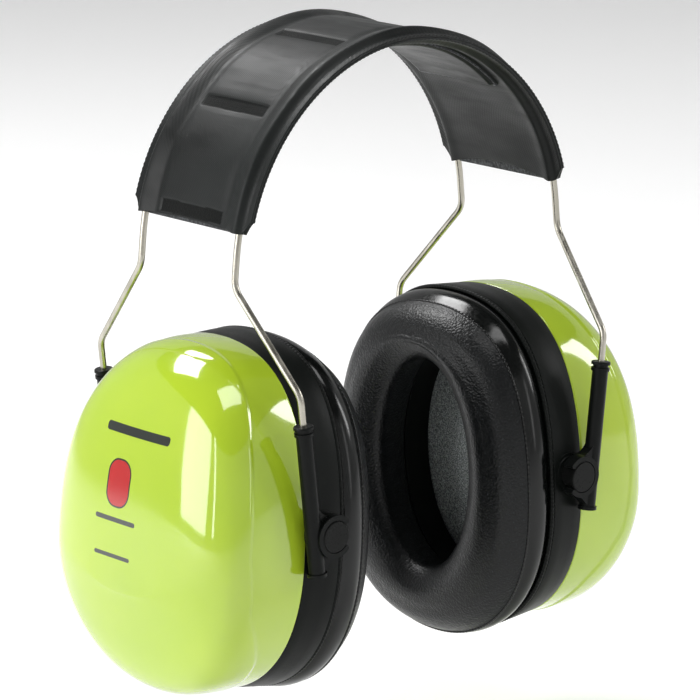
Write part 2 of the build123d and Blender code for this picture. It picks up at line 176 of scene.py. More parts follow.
class Finish:
    """One material under construction, with its surface shader and its coordinates."""

    def __init__(self, name):
        self.material = bpy.data.materials.new(name)
        self.material.use_nodes = True
        self.tree = self.material.node_tree
        self.tree.nodes.clear()
        output = self.tree.nodes.new("ShaderNodeOutputMaterial")
        self.shader = self.tree.nodes.new("ShaderNodeBsdfPrincipled")
        self.tree.links.new(self.shader.outputs[0], output.inputs["Surface"])
        self.place = self.tree.nodes.new("ShaderNodeTexCoord").outputs["Object"]
        self.axes = None

    def put(self, socket, value):
        if isinstance(value, Signal):
            value = value.socket
        if isinstance(value, bpy.types.NodeSocket):
            self.tree.links.new(value, socket)
        else:
            socket.default_value = value

    def node(self, kind, settings=None, **values):
        """Add a node: settings first, then socket values or links by name (or _0, _1 by place)."""
        node = self.tree.nodes.new("ShaderNode" + kind)
        for key, value in (settings or {}).items():
            setattr(node, key, value)
        for key, value in values.items():
            if key.startswith("_"):
                socket = node.inputs[int(key[1:])]
            else:
                socket = node.inputs[key.replace("_", " ")]
            self.put(socket, value)
        return node

    def axis(self, letter):
        """X, Y or Z of the point on the surface, in metres."""
        if self.axes is None:
            self.axes = self.node("SeparateXYZ", Vector=self.place)
        return Signal(self.axes.outputs[letter])

    def noise(self, scale, detail=4.0, roughness=0.5, stretch=None):
        vector = self.place
        if stretch:
            vector = self.node(
                "VectorMath", {"operation": "MULTIPLY"}, _0=self.place, _1=stretch
            ).outputs[0]
        node = self.node("TexNoise", Vector=vector, Scale=scale, Detail=detail, Roughness=roughness)
        return Signal(node.outputs["Fac"])

    def cells(self, scale, feature="F1", output="Distance", smooth=None):
        settings = {"feature": feature}
        node = self.node("TexVoronoi", settings, Vector=self.place, Scale=scale)
        if smooth is not None:
            node.inputs["Smoothness"].default_value = smooth
        return Signal(node.outputs[output])

    def step(self, value, low, high, start=0.0, end=1.0):
        """Smooth step of value from low to high, mapped to start..end."""
        node = self.node(
            "MapRange",
            {"interpolation_type": "SMOOTHSTEP"},
            Value=value,
            From_Min=low,
            From_Max=high,
            To_Min=start,
            To_Max=end,
        )
        return Signal(node.outputs[0])

    def mix(self, amount, first, second):
        """Colour between first and second."""
        node = self.node("Mix", {"data_type": "RGBA"})
        self.put(node.inputs["Factor"], amount)
        colours = [socket for socket in node.inputs if socket.type == "RGBA"]
        self.put(colours[0], first)
        self.put(colours[1], second)
        return next(socket for socket in node.outputs if socket.type == "RGBA")

    def bump(self, height, distance, strength=1.0, under=None):
        node = self.node("Bump", Height=height, Distance=distance, Strength=strength)
        if under is not None:
            self.put(node.inputs["Normal"], under)
        return node.outputs[0]

    def set(self, **values):
        for key, value in values.items():
            self.put(self.shader.inputs[key.replace("_", " ")], value)
        return self.material


def colour(red, green, blue):
    """Linear colour from display values between 0 and 255."""
    channels = []
    for value in (red, green, blue):
        share = value / 255
        channels.append(share / 12.92 if share <= 0.04045 else ((share + 0.055) / 1.055) ** 2.4)
    return (*channels, 1.0)


# ---- finishes ---------------------------------------------------------------------------------

def rounded_box(finish, y, z, half_y, half_z, corner):
    """Signed distance, in metres, to an upright rounded rectangle on the cup's outer face."""
    over_y = (abs(finish.axis("Y") - y) - (half_y - corner)).most(0.0)
    over_z = (abs(finish.axis("Z") - z) - (half_z - corner)).most(0.0)
    return (over_y * over_y + over_z * over_z) ** 0.5 - corner


def shell_green():
    """High-visibility yellow-green moulding, glossy, with plain printed marks on the outer face."""
    finish = Finish("hi_viz_green_gloss")
    cloud = finish.noise(18.0, 3.0)
    fleck = finish.noise(900.0, 2.0)
    base = finish.mix(finish.step(cloud, 0.3, 0.7), GREEN_DEEP, GREEN_LIGHT)
    outside = abs(finish.axis("X")) > RIM_X + 0.6 * SHELL_DEPTH
    edge = 0.12 * MM
    for y, z, half_y, half_z, corner, ink in PRINTS:
        inside = finish.step(rounded_box(finish, y, z, half_y, half_z, corner), edge, -edge)
        base = finish.mix(inside * outside, base, ink)
    peel = finish.noise(140.0, 2.0)
    skin = finish.bump(peel, 0.00005, 0.35)
    roughness = finish.step(fleck, 0.2, 0.8, 0.07, 0.13)
    return finish.set(
        Base_Color=base,
        Roughness=roughness,
        Normal=skin,
        Coat_Weight=0.8,
        Coat_Roughness=0.04,
        Coat_IOR=1.65,
        IOR=1.55,
    )


def satin_black(name, tone, low, high, grain=1400.0, depth=0.00003):
    """Spark-eroded black moulding: fine even grain and faint flow clouds."""
    finish = Finish(name)
    cloud = finish.noise(35.0, 3.0)
    speck = finish.noise(grain, 3.0, 0.6)
    light = tuple(min(1.0, channel * 1.3) for channel in tone[:3]) + (1.0,)
    return finish.set(
        Base_Color=finish.mix(finish.step(cloud, 0.35, 0.7), tone, light),
        Roughness=finish.step(cloud + speck * 0.5, 0.5, 1.0, low, high),
        Normal=finish.bump(speck, depth, 0.8),
        Specular_IOR_Level=0.14,
    )


def steel():
    """Drawn stainless spring wire, polished, with faint draw marks."""
    finish = Finish("spring_steel")
    draw = finish.noise(260.0, 2.0, 0.5, stretch=(1.0, 1.0, 0.1))
    tint = finish.mix(finish.step(draw, 0.3, 0.75), colour(176, 172, 160), colour(204, 200, 188))
    return finish.set(
        Base_Color=tint,
        Metallic=1.0,
        Roughness=finish.step(draw, 0.3, 0.75, 0.24, 0.32),
    )


def band_cloth():
    """Black coated cloth: the weave of the backing shows through the coating."""
    finish = Finish("coated_band_cloth")
    across = finish.axis("Y")
    along = finish.axis("Z") + abs(finish.axis("X")) * 0.7
    pitch = 2 * pi / (0.75 * MM)
    weave = (across * pitch).sine() * (along * pitch).sine()
    wander = finish.noise(260.0, 3.0, stretch=(1.0, 0.25, 1.0))
    wear = finish.noise(30.0, 4.0)
    tone = finish.mix(finish.step(wear, 0.3, 0.75), colour(10, 13, 12), colour(19, 23, 22))
    thread = finish.bump(weave + wander * 1.4, 0.00006, 0.35)
    return finish.set(
        Base_Color=tone,
        Roughness=finish.step(wander + wear, 0.7, 1.3, 0.36, 0.52),
        Normal=thread,
        Specular_IOR_Level=0.28,
    )


def cushion_grain_and_painted_glints():
    """Soft black PVC of the cushion's face, with a fine leather grain and painted glints: bright
    specks painted into its colour.
    """
    finish = Finish("cushion_face_grain_and_painted_glints")
    pores = finish.cells(1500.0, "SMOOTH_F1", smooth=0.35)
    creases = finish.noise(600.0, 4.0, 0.65)
    # Painted glints: bright specks painted into the face's colour, standing in for highlights on the
    # grain.
    painted_glint = finish.step(finish.noise(2600.0, 2.0), 0.6, 0.8)
    tone = finish.mix(painted_glint, colour(5, 7, 8), colour(50, 56, 60))
    grain = finish.bump(pores + creases * 0.6, 0.00016, 0.9)
    return finish.set(
        Base_Color=tone,
        Roughness=finish.step(creases, 0.3, 0.7, 0.3, 0.42),
        Normal=grain,
        Coat_Weight=0.12,
        Coat_Roughness=0.3,
        Specular_IOR_Level=0.3,
    )


def cushion_gloss():
    """Smooth glossy PVC of the cushion's side."""
    finish = Finish("cushion_side_gloss")
    slack = finish.noise(90.0, 2.0)
    dust = finish.noise(1200.0, 2.0)
    return finish.set(
        Base_Color=finish.mix(finish.step(slack, 0.3, 0.7), colour(6, 8, 7), colour(12, 14, 13)),
        Roughness=finish.step(dust + slack * 0.5, 0.6, 1.0, 0.14, 0.24),
        Normal=finish.bump(slack, 0.0002, 0.4),
        Specular_IOR_Level=0.4,
    )


def foam(name, dark, light, scale):
    """Open-cell foam sheet with pores and speckles."""
    finish = Finish(name)
    pores = finish.cells(scale)
    speckle = finish.noise(scale * 1.8, 3.0, 0.7)
    tone = finish.mix(finish.step(speckle, 0.4, 0.68), dark, light)
    return finish.set(
        Base_Color=tone,
        Roughness=finish.step(speckle, 0.3, 0.7, 0.85, 1.0),
        Normal=finish.bump(pores, 0.0005, 0.8),
        Sheen_Weight=0.2,
    )


GREEN_LIGHT = colour(184, 210, 50)
GREEN_DEEP = colour(172, 202, 44)
INK = colour(14, 24, 12)
RED = colour(186, 16, 18)

# Plain printed marks on the outer face: y, z, half sizes, corner, ink (drawn in this order).
PRINTS = [
    (-1.5 * MM, 27.0 * MM, 14.0 * MM, 1.3 * MM, 1.0 * MM, INK),
    (3.0 * MM, 12.0 * MM, 5.2 * MM, 7.0 * MM, 4.4 * MM, INK),
    (3.0 * MM, 12.0 * MM, 4.7 * MM, 6.5 * MM, 3.9 * MM, RED),
    (3.0 * MM, 1.5 * MM, 9.0 * MM, 0.7 * MM, 0.7 * MM, INK),
    (3.5 * MM, -9.0 * MM, 8.0 * MM, 0.6 * MM, 0.6 * MM, INK),
]


# ---- mesh building blocks ---------------------------------------------------------------------

def solid(name, points, faces, materials, choose=None):
    """Closed mesh object, faces outwards; choose gives each face's material number."""
    mesh = bpy.data.meshes.new(name)
    mesh.from_pydata([tuple(p) for p in points], [], [tuple(f) for f in faces])
    for material in materials:
        mesh.materials.append(material)
    if choose is not None:
        mesh.polygons.foreach_set("material_index", np.asarray(choose, np.int32))
    work = bmesh.new()
    work.from_mesh(mesh)
    bmesh.ops.recalc_face_normals(work, faces=work.faces)
    work.to_mesh(mesh)
    work.free()
    mesh.polygons.foreach_set("use_smooth", np.ones(len(mesh.polygons), bool))
    mesh.update()
    piece = bpy.data.objects.new(name, mesh)
    bpy.context.scene.collection.objects.link(piece)
    return piece


def grid(rows, columns, wrap_columns=True, wrap_rows=False):
    """Quads over a grid of points; rows may close on themselves, and so may columns."""
    faces = []
    for i in range(rows if wrap_rows else rows - 1):
        for j in range(columns if wrap_columns else columns - 1):
            a = i * columns + j
            b = i * columns + (j + 1) % columns
            c = ((i + 1) % rows) * columns + (j + 1) % columns
            d = ((i + 1) % rows) * columns + j
            faces.append((a, b, c, d))
    return faces


def turned(points, side):
    """Right cup's points as they are, or mirrored and tilted for the left cup."""
    points = np.array(points, float).reshape(-1, 3)
    if side == "right":
        return points
    x = -points[:, 0] + PIVOT_X
    z = points[:, 2]
    cosine, sine = cos(LEFT_TILT), sin(LEFT_TILT)
    return np.stack([x * cosine + z * sine - PIVOT_X, points[:, 1], z * cosine - x * sine], 1)


def bezier(a, b, c, d, t):
    return a * (1 - t) ** 3 + 3 * b * t * (1 - t) ** 2 + 3 * c * t * t * (1 - t) + d * t**3


def egg(half_width, widest_z, top_z, bottom_z, count=COLUMNS):
    """Closed egg outline as (y, z) rows, four curves that meet tangentially, even in length."""
    t = np.linspace(0, 1, 200, endpoint=False)
    runs = []
    for height, fullness, side, backwards in (
        (top_z - widest_z, TOP_FULLNESS, 1, False),
        (top_z - widest_z, TOP_FULLNESS, -1, True),
        (bottom_z - widest_z, BOTTOM_FULLNESS, -1, False),
        (bottom_z - widest_z, BOTTOM_FULLNESS, 1, True),
    ):
        share = 1 - t if backwards else t
        y = side * half_width * bezier(1, 1, fullness, 0, share)
        z = widest_z + height * bezier(0, fullness, 1, 1, share)
        runs.append(np.stack([y, z], 1))
    loop = np.concatenate(runs)
    closed = np.vstack([loop, loop[:1]])
    length = np.concatenate([[0], np.cumsum(np.linalg.norm(np.diff(closed, axis=0), axis=1))])
    even = np.linspace(0, length[-1], count, endpoint=False)
    return np.stack([np.interp(even, length, closed[:, k]) for k in (0, 1)], 1)


def cup_outline(inset, count=COLUMNS, top_drop=0.0, bottom_fall=0.0):
    top_z = TOP_Z - inset - top_drop
    return egg(HALF_WIDTH - inset, WIDEST_Z, top_z, BOTTOM_Z + inset - bottom_fall, count)


def ear_outline(grow, count=COLUMNS):
    """Oval of the ear opening, with its points where the cup outline's points are."""
    turn = np.linspace(0, 2 * pi, count, endpoint=False)
    return np.stack(
        [
            (EAR_HALF_WIDTH + grow) * np.cos(turn),
            EAR_CENTRE_Z + (EAR_HALF_HEIGHT + grow) * np.sin(turn),
        ],
        1,
    )


def at_x(x, outline):
    """Outline's points as points in space at x; x is a number or one value per point."""
    return np.stack([np.broadcast_to(x, len(outline)), outline[:, 0], outline[:, 1]], 1)


def smooth(value, low, high):
    t = np.clip((value - low) / (high - low), 0, 1)
    return t * t * (3 - 2 * t)


# ---- outer shell ------------------------------------------------------------------------------

def dome_row(share, x_low, depth, inset, crown=0.0):
    """One section of the dome, as in the design: a boxy side, a long slope on top, a full chin."""
    width = max(1 - share**SIDE_POWER, 0) ** (1 / SIDE_ROOT)
    top = max(1 - share**TOP_POWER, 0) ** (1 / TOP_ROOT)
    low = 1 - share**SIDE_POWER
    widest_z = DOME_CENTRE_Z + (WIDEST_Z - DOME_CENTRE_Z) * width
    top_z = DOME_CENTRE_Z + (TOP_Z - inset - DOME_CENTRE_Z) * top
    bottom_z = DOME_CENTRE_Z + (BOTTOM_Z + inset - DOME_CENTRE_Z) * low
    bottom_z = min(bottom_z, widest_z - 0.3 * (top_z - widest_z))
    outline = egg((HALF_WIDTH - inset) * width, widest_z, top_z, bottom_z)
    outline[:, 0] -= DOME_FORWARD * share
    return at_x(x_low + share * depth + crown * (1 - width**2), outline)


SPACING_DEPTH, SPACING_WIDTH = 32, 42    # rough size of the dome, only to space its sections


def dome_shares(rows, last=0.9985):
    """Shares of the depth at which sections lie evenly along the dome's profile."""
    share = 1 - np.linspace(1, 0, 4000) ** 2
    share = share[share <= last]
    width = (1 - share**SIDE_POWER) ** (1 / SIDE_ROOT)
    steps = np.hypot(np.diff(share * SPACING_DEPTH), np.diff(width * SPACING_WIDTH))
    length = np.concatenate([[0], np.cumsum(steps)])
    return np.interp(np.linspace(0, length[-1], rows), length, share)


def dome_rows(rows, x_low, depth, inset, crown=0.0):
    return [dome_row(share, x_low, depth, inset, crown) for share in dome_shares(rows)]


# Distance of the moulded crease from the rim at heights up the cup's side.
CREASE_HEIGHTS = np.array([-56, -46, -38, -31, -22, -5, 12, 27, 40, 52]) * MM
CREASE_OFFSETS = np.array([6.0, 7.2, 9.6, 13.6, 18.6, 20.6, 19.6, 17.6, 13.8, 10.0]) * MM
CREASE_HEIGHT = 0.38 * MM
CREASE_WIDTH = 1.3 * MM


def outward(rows):
    """Outward normals of a stack of closed rows."""
    stack = np.array(rows)
    along = np.gradient(stack, axis=0)
    around = np.roll(stack, -1, axis=1) - np.roll(stack, 1, axis=1)
    normal = np.cross(around, along)
    return normal / np.maximum(np.linalg.norm(normal, axis=2, keepdims=True), 1e-12)


def capped(rows, first_centre=None, last_centre=None):
    """Points and faces of closed rows, with a fan to a centre point at either end."""
    count = len(rows[0])
    points = [p for row in rows for p in row]
    faces = grid(len(rows), count)
    if last_centre is not None:
        points.append(last_centre)
        start = (len(rows) - 1) * count
        hub = len(points) - 1
        faces += [(start + j, start + (j + 1) % count, hub) for j in range(count)]
    if first_centre is not None:
        points.append(first_centre)
        hub = len(points) - 1
        faces += [((j + 1) % count, j, hub) for j in range(count)]
    return points, faces


def shell_skin(x_low, depth, inset, wall, rows, creased):
    """Thick dome open at its rim: outer skin, rounded rim edge and inner skin."""
    crown = CROWN if creased else 0.0
    outer = np.array(dome_rows(rows, x_low, depth, inset, crown))
    normal = outward(outer)
    if creased:
        offset = np.interp(outer[..., 2], CREASE_HEIGHTS, CREASE_OFFSETS)
        rise = smooth(outer[..., 0] - x_low - offset, -CREASE_WIDTH / 2, CREASE_WIDTH / 2)
        fade = 1 - smooth(outer[..., 0] - x_low, 0.78 * depth, 0.98 * depth)
        outer = outer + normal * (CREASE_HEIGHT * rise * fade)[..., None]
    edge = 0.3 * MM
    outer[0] = at_x(x_low + edge, cup_outline(inset))
    first = at_x(x_low + 0.3 * edge, cup_outline(inset + 0.3 * edge))
    rim = at_x(x_low, cup_outline(inset + edge))
    inner_rim = at_x(x_low, cup_outline(inset + wall))
    inner = dome_rows(rows // 3, x_low, depth - wall, inset + wall)
    top = outer[-1].mean(0) + np.array([0.00005, 0, 0])
    bottom = inner[-1].mean(0)
    stack = [*inner[::-1], inner_rim, rim, first, *outer]
    return capped(stack, first_centre=bottom, last_centre=top)


def make_outer_shell(side, finish):
    points, faces = shell_skin(RIM_X, SHELL_DEPTH, 0.0, SHELL_WALL, 150, True)
    piece = solid(side + "_shell", turned(points, side), faces, [finish])
    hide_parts(side + "_outer_shell")
    return piece


# ---- base ring and inner casing ---------------------------------------------------------------

def ring_from_profile(profile):
    """Closed rows round the cup, one per (x, inset) of a closed cross section."""
    return [at_x(x, cup_outline(inset)) for x, inset in profile]


def make_base(side, finish):
    """Black base ring with its flange and lip, and the casing behind it."""
    depth = RIM_X - BASE_X
    lip = SHELL_WALL + 0.2 * MM
    edge = 0.35 * MM
    profile = [
        (BASE_X + BASE_FLOOR, OPENING_INSET),
        (BASE_X, OPENING_INSET),
        (BASE_X, edge - BASE_FLARE),
        (BASE_X + 0.3 * edge, 0.3 * edge - BASE_FLARE),
        (BASE_X + edge, -BASE_FLARE * (1 - edge / depth)),
        (BASE_X + 0.35 * depth, -BASE_FLARE * 0.68),
        (BASE_X + 0.7 * depth, -BASE_FLARE * 0.3),
        (RIM_X - edge, 0.0),
        (RIM_X - 0.3 * edge, 0.3 * edge),
        (RIM_X, edge),
        (RIM_X, lip),
        (RIM_X + LIP_HEIGHT, lip),
        (RIM_X + LIP_HEIGHT, BASE_WALL),
        (BASE_X + BASE_FLOOR, BASE_WALL),
    ]
    rows = ring_from_profile(profile)
    points = [p for row in rows for p in row]
    faces = grid(len(rows), COLUMNS, wrap_rows=True)
    piece = solid(side + "_base_ring", turned(points, side), faces, [finish])
    edges_sharp(piece)
    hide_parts(side + "_inner_shell")
    casing_x = BASE_X + BASE_FLOOR
    inner_depth = CASING_HIGH.x - casing_x
    points, faces = shell_skin(casing_x, inner_depth, CASING_INSET, CASING_WALL, 40, False)
    casing = solid(side + "_casing", turned(points, side), faces, [finish])
    return [piece, casing]


def edges_sharp(piece, angle=radians(38)):
    """Keep smooth shading only across shallow edges."""
    piece.data.set_sharp_from_angle(angle=angle)


def disc_rows(profile, y_sign, x, count=64):
    """Turned part on an axis along Y: (distance from the middle plane, radius) rows."""
    turn = np.linspace(0, 2 * pi, count, endpoint=False)
    return [
        np.stack([x + r * np.cos(turn), np.full(count, y_sign * y), r * np.sin(turn)], 1)
        for y, r in profile
    ]


def zipped(first, second):
    """Triangles between two runs of point numbers that need not be equally long."""
    faces = []
    i = j = 0
    while i < len(first) - 1 or j < len(second) - 1:
        ahead = (i + 1) / (len(first) - 1) <= (j + 1) / (len(second) - 1)
        if j == len(second) - 1 or (ahead and i < len(first) - 1):
            faces.append((first[i], first[i + 1], second[j]))
            i += 1
        else:
            faces.append((first[i], second[j + 1], second[j]))
            j += 1
    return faces


def make_bosses(side, finish):
    """Round stepped bosses of the base, where the studs pass through."""
    pieces = []
    for end, sign in (("front", -1), ("rear", 1)):
        face = BOSS_FACE_Y
        profile = [
            (face - 6.0 * MM, BOSS_RADIUS),
            (face - 0.75 * MM, BOSS_RADIUS),
            (face - 0.55 * MM, BOSS_RADIUS - 0.15 * MM),
            (face - 0.5 * MM, BOSS_RADIUS - 0.9 * MM),
            (face - 0.35 * MM, BOSS_RADIUS - 1.05 * MM),
            (face - 0.1 * MM, BOSS_RADIUS - 1.1 * MM),
            (face, BOSS_RADIUS - 1.3 * MM),
        ]
        rows = disc_rows(profile, sign, PIVOT_X)
        points, faces = capped(rows, rows[0].mean(0), rows[-1].mean(0))
        piece = solid(f"{side}_{end}_boss", turned(points, side), faces, [finish])
        edges_sharp(piece)
        pieces.append(piece)
    return pieces


# ---- cushion ----------------------------------------------------------------------------------

# Cross section of the cushion: share of its depth from the face, and inset from the cup's outline.
CUSHION_OUTSIDE = [
    (1, 0.4), (0.84, -1.0), (0.64, -1.0), (0.46, 0.4), (0.26, 2.2), (0.09, 5.2), (0.0, 9.0)
]
# The same inside, as growth of the ear opening.
CUSHION_INSIDE = [(0.0, 5.5), (0.12, 2.0), (0.35, 0.0), (1, 2.0)]
SEAM_SHARE = 0.52                # where the grained face meets the glossy side
TOP_DROP = 2.6 * MM              # the face sits lower at the top than the cup's outline
BOTTOM_FALL = 1.4 * MM           # and hangs a little lower at the bottom
PUFF_COLUMNS = 192
CUSHION_AIR, CUSHION_SWELL = 4.0, 1.1 * MM   # air pressure in the cushion, and the most it may move
PAD_AIR, PAD_SWELL = 3.0, 0.9 * MM           # the same in the crown pad
AIR_STEPS = 20


def rounded(knots, count):
    """Points evenly along a smooth curve through the knots."""
    knots = np.array(knots, float)
    padded = np.vstack([2 * knots[0] - knots[1], knots, 2 * knots[-1] - knots[-2]])
    fine = []
    for p, q, r, s in zip(padded, padded[1:], padded[2:], padded[3:]):
        t = np.linspace(0, 1, 40, endpoint=False)[:, None]
        fine.append(
            0.5 * (2 * q + (r - p) * t + (2 * p - 5 * q + 4 * r - s) * t**2
                   + (3 * q - p - 3 * r + s) * t**3)
        )
    fine = np.vstack(fine + [knots[-1:]])
    length = np.concatenate([[0], np.cumsum(np.linalg.norm(np.diff(fine, axis=0), axis=1))])
    even = np.linspace(0, length[-1], count)
    return np.stack([np.interp(even, length, fine[:, k]) for k in range(fine.shape[1])], 1)


def cushion_rows():
    """Closed rows round the cushion's cross section: side, face, ear side and flat back."""
    depth = PLATE_X - FACE_X
    outside = rounded([(share * depth / MM, inset) for share, inset in CUSHION_OUTSIDE], 18) * MM
    inside = rounded([(share * depth / MM, grow) for share, grow in CUSHION_INSIDE], 14) * MM
    rows = []
    for x, inset in outside:
        share = min(1.0, 2 * (1 - x / depth))
        outline = cup_outline(inset, PUFF_COLUMNS, TOP_DROP * share, BOTTOM_FALL * share)
        rows.append(at_x(FACE_X + x, outline))
    first = rows[-1]
    last = at_x(FACE_X, ear_outline(inside[0][1], PUFF_COLUMNS))
    for share in np.linspace(0, 1, 9)[1:-1]:
        row = first + (last - first) * share
        row[:, 0] -= 0.9 * MM * 4 * share * (1 - share)
        rows.append(row)
    rows += [at_x(FACE_X + x, ear_outline(grow, PUFF_COLUMNS)) for x, grow in inside]
    back_first, back_last = rows[-1], rows[0]
    for share in (1 / 3, 2 / 3):
        rows.append(back_first + (back_last - back_first) * share)
    return rows, len(outside)


def inflate(name, points, faces, held, pressure, cap):
    """Cloth under air pressure, pinned where held; no point moves further than cap."""
    mesh = bpy.data.meshes.new(name)
    mesh.from_pydata([tuple(p) for p in points], [], faces)
    work = bmesh.new()
    work.from_mesh(mesh)
    bmesh.ops.recalc_face_normals(work, faces=work.faces)
    work.to_mesh(mesh)
    work.free()
    piece = bpy.data.objects.new(name, mesh)
    bpy.context.scene.collection.objects.link(piece)
    group = piece.vertex_groups.new(name="held")
    group.add([int(i) for i in np.flatnonzero(held)], 1.0, "REPLACE")
    cloth = piece.modifiers.new("air", "CLOTH")
    cloth.settings.vertex_group_mass = "held"
    cloth.settings.use_pressure = True
    cloth.settings.uniform_pressure_force = pressure
    cloth.settings.effector_weights.gravity = 0
    cloth.settings.tension_stiffness = 25
    cloth.settings.compression_stiffness = 25
    cloth.settings.bending_stiffness = 0.4
    cloth.collision_settings.use_collision = False
    scene = bpy.context.scene
    for frame_number in range(1, AIR_STEPS + 1):
        scene.frame_set(frame_number)
    settled = piece.evaluated_get(bpy.context.evaluated_depsgraph_get())
    moved = np.empty(len(points) * 3)
    settled.to_mesh().vertices.foreach_get("co", moved)
    settled.to_mesh_clear()
    scene.frame_set(1)
    bpy.data.objects.remove(piece)
    bpy.data.meshes.remove(mesh)
    travel = moved.reshape(-1, 3) - points
    size = np.linalg.norm(travel, axis=1, keepdims=True)
    return points + travel * np.minimum(1, cap / np.maximum(size, 1e-9))


def puffed_cushion():
    """Points and faces of the right cushion with air in it; the ring at its plate is held."""
    rows, side_rows = cushion_rows()
    points = np.concatenate(rows)
    faces = grid(len(rows), PUFF_COLUMNS, wrap_rows=True)
    held = points[:, 0] > PLATE_X - 0.9 * MM
    points = inflate("cushion_air", points, faces, held, CUSHION_AIR, CUSHION_SWELL)
    stack = points.reshape(len(rows), PUFF_COLUMNS, 3)
    return stack, faces, side_rows


def make_cushion(side, cushion, grain, gloss):
    """Grained face and ear side, glossy outer side, and the welded seam between them."""
    stack, faces, side_rows = cushion
    seam_x = FACE_X + SEAM_SHARE * (PLATE_X - FACE_X)
    seam = int(np.argmin(np.abs(stack[:side_rows, :, 0].mean(1) - seam_x)))
    row_of = np.arange(len(faces)) // PUFF_COLUMNS
    glossy = (row_of < seam) | (row_of >= len(stack) - 3)
    name = side + "_ear_cushion"
    piece = solid(name, turned(stack, side), faces, [grain, gloss], glossy.astype(int))
    smooth_out(piece, 1)
    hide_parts(side + "_cushion_skin", side + "_cushion_foam")
    points, faces = bead_ring(stack[seam], 0.42 * MM, 0.09 * MM, 210)
    seam_piece = solid(side + "_cushion_seam", turned(points, side), faces, [gloss])
    return [piece, seam_piece]


def smooth_out(piece, levels):
    """Subdivide a piece and keep the result as its mesh."""
    modifier = piece.modifiers.new("smooth", "SUBSURF")
    modifier.levels = levels
    modifier.render_levels = levels
    settled = piece.evaluated_get(bpy.context.evaluated_depsgraph_get())
    mesh = bpy.data.meshes.new_from_object(settled)
    piece.modifiers.clear()
    old = piece.data
    piece.data = mesh
    bpy.data.meshes.remove(old)


def bead_ring(path, radius, notch, ticks, around=10, per_tick=5):
    """Thin round bead along a closed row of points, notched evenly along its length."""
    count = ticks * per_tick
    closed = np.vstack([path, path[:1]])
    place = np.linspace(0, len(path), count, endpoint=False)
    line = np.stack([np.interp(place, np.arange(len(closed)), closed[:, k]) for k in range(3)], 1)
    along = np.roll(line, -1, axis=0) - np.roll(line, 1, axis=0)
    along /= np.linalg.norm(along, axis=1, keepdims=True)
    upright = np.tile([1.0, 0.0, 0.0], (count, 1))
    outwards = np.cross(along, upright)
    outwards /= np.linalg.norm(outwards, axis=1, keepdims=True)
    depth = radius - notch * (1 - np.cos(2 * pi * np.arange(count) / per_tick)) / 2
    rows = []
    for turn in np.linspace(0, 2 * pi, around, endpoint=False):
        rows.append(line + depth[:, None] * (cos(turn) * upright + sin(turn) * outwards))
    return np.concatenate(rows), grid(around, count, wrap_rows=True)


def make_plate(side, finish):
    """Rigid ring behind the cushion: snap lip, collar in front of the foam, notched bead outside."""
    middle = (PLATE_X + BASE_X) / 2
    lip_outer = OPENING_INSET + 0.3 * MM
    lip_inner = lip_outer + 1.4 * MM
    bore = COLLAR_GROWTH
    collar_end = PLATE_END_X - 0.4 * MM
    section = [
        (PLATE_X, cup_outline(0.6 * MM)),
        (BASE_X, cup_outline(0.6 * MM)),
        (BASE_X, cup_outline(lip_outer)),
        (BASE_X + LIP_DEPTH, cup_outline(lip_outer)),
        (BASE_X + LIP_DEPTH, cup_outline(lip_inner)),
        (BASE_X, cup_outline(lip_inner)),
        (BASE_X, ear_outline(bore + COLLAR_WALL)),
        (PLATE_END_X, ear_outline(bore + COLLAR_WALL)),
        (PLATE_END_X, ear_outline(bore + 0.4 * MM)),
        (collar_end, ear_outline(bore)),
        (PLATE_X, ear_outline(bore)),
    ]
    rows = [at_x(x, outline) for x, outline in section]
    faces = grid(len(rows), COLUMNS, wrap_rows=True)
    points = np.concatenate(rows)
    piece = solid(side + "_plate", turned(points, side), faces, [finish])
    edges_sharp(piece)
    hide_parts(side + "_cushion_plate")
    path = at_x(middle, cup_outline(-0.35 * MM))
    points, faces = bead_ring(path, 0.85 * MM, 0.13 * MM, 250)
    bead = solid(side + "_plate_bead", turned(points, side), faces, [finish])
    return [piece, bead]


def make_foam_cover(side, finish):
    """Foam sheet behind the ear opening, dished a little."""
    shares = [1.0, 0.97, 0.92, 0.85, 0.76, 0.66, 0.55, 0.44, 0.33, 0.22, 0.11, 0.03]
    edge = cup_outline(OPENING_INSET + 0.9 * MM, PUFF_COLUMNS)
    centre = np.array([[0.0, EAR_CENTRE_Z]])
    thickness = COVER_HIGH.x - COVER_LOW.x
    front, back = [], []
    for share in shares:
        outline = centre + (edge - centre) * share
        dish = 0.9 * MM * (1 - share**4)
        front.append(at_x(COVER_LOW.x + dish, outline))
        back.append(at_x(COVER_LOW.x + dish + thickness, outline))
    rows = back[::-1] + front
    points, faces = capped(rows, rows[0].mean(0), rows[-1].mean(0))
    piece = solid(side + "_foam_sheet", turned(points, side), faces, [finish])
    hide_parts(side + "_foam_cover")
    return piece


# ---- headband ---------------------------------------------------------------------------------

CORE_RISE = 0.7 * MM             # the foam core's surfaces above and below the wires' centre line
CORE_DROP = 1.1 * MM
TUNNEL_HALF_WIDTH = 1.4 * MM     # room for a wire in the cover
TUNNEL_DEPTH = 0.35 * MM
LINING_GAP = 0.02 * MM
SKIN_RISE = 1.5 * MM
SKIN_DROP = 1.9 * MM
FLANGE = 0.8 * MM
RIDGE_HEIGHT = 2.1 * MM          # top of the skin over a wire
CORNER_CUT = 4.0 * MM            # the welded edge stops this much short of the wires' exit
BAR_ANGLES = [radians(angle) for angle in (-75, -45, -15, 15, 45, 75)]
BAR_HALF_LENGTH = 13.5 * MM
BAR_HALF_WIDTH = 1.9 * MM
BAR_DEPTH = 0.75 * MM
WELD_PITCH = 1.5 * MM


def on_arch(angle, y, height):
    radius = ARCH_RADIUS + height
    return np.stack([radius * np.sin(angle), y + 0 * angle, ARCH_Z + radius * np.cos(angle)], -1)


